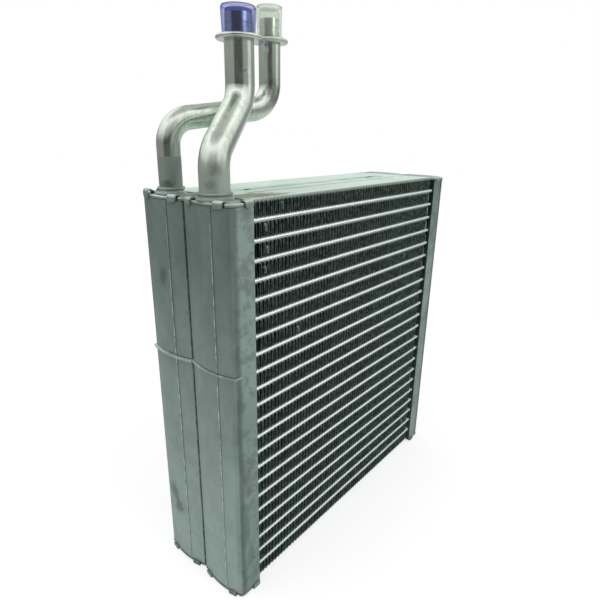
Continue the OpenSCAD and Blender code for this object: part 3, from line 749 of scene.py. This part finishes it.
blue_plastic = plastic("blue_plastic", (186, 191, 223), (128, 133, 190), roughness=0.05, clearness=0.96,
                       top_z=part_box("transit_cap_front")[1].z)
clear_plastic = plastic("clear_plastic", (236, 241, 234), (214, 221, 212), roughness=0.07, clearness=0.86,
                        top_z=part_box("transit_cap_rear")[1].z)
blue_outline = [(8.75, 0), (8.8, 1.0), (9.0, 5.0), (9.2, 9.0), (9.24, 11.5), (9.16, 12.9), (8.95, 13.45),
                (8.6, 13.68), (8.2, 13.6), (7.9, 13.2), (4.0, 13.1)]
clear_outline = [(7.5, 0), (7.5, 1.1), (7.1, 1.4), (7.1, 5.0), (7.25, 10.0), (7.3, 15.0), (7.2, 16.2),
                 (6.95, 16.65), (6.6, 16.78), (6.2, 16.7), (5.9, 16.4), (3.0, 16.3)]
transit_cup("blue_cup", "transit_cap_front", blue_plastic, 0.00739, blue_outline, skew=0.025)
transit_cup("clear_cup", "transit_cap_rear", clear_plastic, 0.0058, clear_outline, skew=0.02)


# Fin strips
# Each strip is one thin aluminium sheet, folded to and fro and brazed between two levels of tubes,
# from the front row through to the rear row. Its coating is dark. Shade is painted deeper in from the
# face, and light on the legs near it, where their cut edges are also bare. The brazed folds are paler.
# The top crests stand past the side plate's edges, and handling has crushed some folds.
fin_half = 0.0043
real_waves = 65
fold_steps = 10
fin_gauge = 0.00014
right_end_gap = 0.0032

fold_tree = bpy.data.node_groups.new("fin_folds", "GeometryNodeTree")
for label, kind in (("Waves", "Int"), ("Steps", "Int"), ("Length", "Float"), ("Depth", "Float"),
                    ("Height", "Float"), ("Lean", "Float"), ("Wander", "Float"), ("Pinch", "Float"),
                    ("Crest Lift", "Float"), ("Crush Depth", "Float"), ("Crush Waves", "Float"),
                    ("Seed", "Int"), ("Finish", "Material"), ("End Finish", "Material")):
    fold_tree.interface.new_socket(label, in_out="INPUT", socket_type="NodeSocket" + kind)
fold_tree.interface.new_socket("Mesh", in_out="OUTPUT", socket_type="NodeSocketGeometry")
tree = fold_tree
ins = tree.nodes.new("NodeGroupInput").outputs
outs = tree.nodes.new("NodeGroupOutput").inputs
across = math_node(tree, "ADD", times(tree, ins["Waves"], ins["Steps"]), 1)
grid = node(tree, "GeometryNodeMeshGrid", {"Size X": ins["Waves"], "Size Y": 1.0,
                                           "Vertices X": across, "Vertices Y": 8})
phase, row, _ = axes_of(tree, node(tree, "GeometryNodeInputPosition").outputs[0])
turned = times(tree, phase, 2 * math.pi)


def seeded_noise(place, scale, detail):
    return node(tree, "ShaderNodeTexNoise", {"Vector": place.outputs[0], "W": ins["Seed"], "Scale": scale,
                                             "Detail": detail}, noise_dimensions="4D").outputs["Fac"]


# The eight rows of points stand 0, 1.3, 1.42 and 5 mm in from either face
from_middle = absolute(tree, row)
set_in = times(tree, math_node(tree, "LESS_THAN", from_middle, 0.43), 0.0013)
set_in = linear(tree, math_node(tree, "LESS_THAN", from_middle, 0.28), 0.00012, set_in)
set_in = linear(tree, math_node(tree, "LESS_THAN", from_middle, 0.14), 0.00358, set_in)
# Along the strip each leg leans and pinches its own way. The folds' tops are flat where they are brazed.
wobble = seeded_noise(node(tree, "ShaderNodeCombineXYZ", {0: times(tree, phase, 1.7),
                                                          1: times(tree, row, 1.6)}), 1.0, 1.0)
along = minus(tree, phase, times(tree, math_node(tree, "SINE", times(tree, turned, 2.0)), ins["Lean"]))
along = linear(tree, math_node(tree, "COSINE", turned), ins["Pinch"], along)
along = math_node(tree, "ADD", along, times(tree, minus(tree, wobble, 0.5), ins["Wander"]))
rise = times(tree, math_node(tree, "SINE", turned), 1.35)
rise = math_node(tree, "MAXIMUM", math_node(tree, "MINIMUM", rise, 1.0), -1.0)
# Folds near the left end of a strip can be crushed back from the front face
from_end = linear(tree, ins["Waves"], 0.5, phase)
ragged = seeded_noise(node(tree, "ShaderNodeCombineXYZ", {0: phase, 2: rise}), 0.9, 2.0)
crushed = ramp(tree, linear(tree, ragged, -2.4, from_end),
               ins["Crush Waves"], minus(tree, ins["Crush Waves"], 1.2))
pushed = times(tree, crushed, ins["Crush Depth"], math_node(tree, "LESS_THAN", row, 0.0))
inward = math_node(tree, "MAXIMUM", set_in, pushed)
depth_place = times(tree, math_node(tree, "SIGN", row), minus(tree, times(tree, ins["Depth"], 0.5), inward))
# The crests outside the plate's edges stand up past it
proud = math_node(tree, "GREATER_THAN", from_middle, 0.28)
lift = times(tree, ins["Crest Lift"], proud, math_node(tree, "MAXIMUM", rise, 0.0),
             math_node(tree, "MULTIPLY_ADD", wobble, 0.5, 0.6, clamp=True))
place = node(tree, "ShaderNodeCombineXYZ", {
    0: times(tree, along, math_node(tree, "DIVIDE", ins["Length"], ins["Waves"])),
    1: depth_place,
    2: math_node(tree, "ADD", lift, times(tree, rise, times(tree, ins["Height"], 0.5)))})
folded = node(tree, "GeometryNodeSetPosition", {"Geometry": grid.outputs["Mesh"], "Position": place.outputs[0]})
real = node(tree, "GeometryNodeRealizeInstances", {0: folded.outputs[0]})
coated = node(tree, "GeometryNodeSetMaterial", {"Geometry": real.outputs[0], "Material": ins["Finish"]})
last_leg = math_node(tree, "GREATER_THAN", linear(tree, ins["Waves"], -0.5, phase), -0.32)
tipped = node(tree, "GeometryNodeSetMaterial", {"Geometry": coated.outputs[0], "Selection": last_leg,
                                                "Material": ins["End Finish"]})
tree.links.new(tipped.outputs[0], outs[0])


def solved(name, geometry_tree, values):
    """Runs a geometry tree with named values and keeps its result as a plain mesh object."""
    holder = bpy.data.objects.new(name, bpy.data.meshes.new(name))
    scene.collection.objects.link(holder)
    step = holder.modifiers.new("nodes", "NODES")
    step.node_group = geometry_tree
    for item in geometry_tree.interface.items_tree:
        if item.in_out == "INPUT" and item.name in values:
            step[item.identifier] = values[item.name]
    graph = bpy.context.evaluated_depsgraph_get()
    mesh = bpy.data.meshes.new_from_object(holder.evaluated_get(graph), depsgraph=graph)
    holder.modifiers.clear()
    holder.data = mesh
    return holder


fin_finish, tree, shader, place = metal("fin_finish", (68, 81, 75), (40, 50, 46), clouds=0.8, pits=0.3,
                                        metallic=0.35, bump=0.2, roughness=0.45)
_, y, z = axes_of(tree, place)
from_strip = absolute(tree, level_off(tree, z, sum(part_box("fin_strip_01"), Vector()).z / 2))
from_face = minus(tree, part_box("fin_strip_01")[1].y, absolute(tree, y))
# Painted shade, near black, deeper in from the face
repaint(tree, shader, ramp(tree, from_face, 0.0006, 0.0022), 0.92, (12, 17, 16))
# Painted light on the legs near the face, where the cut edges are also bare, broken here and there
bare_and_lit = linear(tree, ramp(tree, noise(tree, place, 430, 2, 0.6), 0.38, 0.66), 0.7, 0.18)
repaint(tree, shader, ramp(tree, from_face, 0.0009, 0.0002), bare_and_lit, (150, 170, 161))
braze = times(tree, ramp(tree, from_strip, fin_half - 0.0009, fin_half - 0.0003),
              ramp(tree, from_face, 0.0022, 0.0008))
repaint(tree, shader, braze, 0.6, (206, 220, 212))
end_finish, *_ = metal("fin_end_finish", (222, 236, 228), (140, 156, 148), clouds=0.8, pits=0.3,
                       metallic=0.4, bump=0.2, roughness=0.4)
bare_metal = 2
# The last legs that show bare beside the gap at the right: place, height, half width, in mm
end_legs = ((99.0, 236.0, 0.25), (99.5, 224.8, 0.3), (99.4, 213.3, 0.6), (100.6, 201.7, 0.25),
            (99.8, 190.6, 0.25), (98.6, 179.2, 0.25))
# How many waves are crushed at the left end of a strip, by its number
crush_waves = {2: 0.3, 3: 0.9, 4: 0.9, 5: 0.2, 7: 0.1, 8: 0.4, 9: -0.3, 11: 0.0, 13: -0.3, 15: -0.1}
crush_depth = 0.0010
crest_lifts = {1: 0.0008}
# Folds that were bent out of line and show bare metal: place along the row and height, in mm
bent_folds = ((-79.7, 246.6), (-92.6, 236.4), (-91.4, 224.0), (-93.3, 213.4), (-64.8, 170.2), (64.5, 193.0),
              (87.3, 30.6))
bent_size = 0.0021


def bent_fold(mesh, x, z, front_y, size):
    """Adds one bare fold to mesh: a narrow arch of sheet at the face, of the given size."""
    rows = []
    for step in range(9):
        t = math.radians(-60 + step * 23)
        spot = (x + 0.3 * size * math.sin(t), z + 1.3 * size * (math.cos(t) - 0.1))
        rows.append([mesh.verts.new((spot[0], front_y + y, spot[1])) for y in (-0.0005, 0.0012)])
    for near, far in zip(rows, rows[1:]):
        mesh.faces.new((near[0], far[0], far[1], near[1])).material_index = bare_metal


for strip in range(1, 24):
    low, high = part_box(f"fin_strip_{strip:02d}")
    high.x -= right_end_gap
    piece = solved(f"fins_{strip:02d}", fold_tree, {
        "Waves": real_waves, "Steps": fold_steps, "Length": high.x - low.x, "Depth": high.y - low.y,
        "Height": high.z - low.z - fin_gauge, "Lean": 0.065, "Wander": 0.3, "Pinch": 0.06,
        "Crest Lift": crest_lifts.get(strip, 0.0), "Crush Depth": crush_depth if strip in crush_waves else 0.0,
        "Crush Waves": crush_waves.get(strip, 0.0), "Seed": strip, "Finish": fin_finish,
        "End Finish": end_finish})
    piece.data.transform(Matrix.Translation((low + high) / 2))
    folds = bmesh.new()
    folds.from_mesh(piece.data)
    for x, z in bent_folds:
        if low.z < z / 1000 < high.z:
            bent_fold(folds, x / 1000, z / 1000, low.y, bent_size)
    for x, z, half in end_legs:
        if low.z < z / 1000 < high.z:
            corners = [(x + a * half, z + b) for a, b in ((-1, -2.6), (1, -2.9), (0.7, 2.9), (-0.8, 2.7))]
            leg = [folds.verts.new((a / 1000, low.y + 0.0001, b / 1000)) for a, b in corners]
            folds.faces.new(leg).material_index = bare_metal
    folds.to_mesh(piece.data)
    folds.free()
    thick = piece.modifiers.new("gauge", "SOLIDIFY")
    thick.thickness = fin_gauge
    thick.offset = 0
    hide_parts(f"fin_strip_{strip:02d}")
    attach(piece, "root")
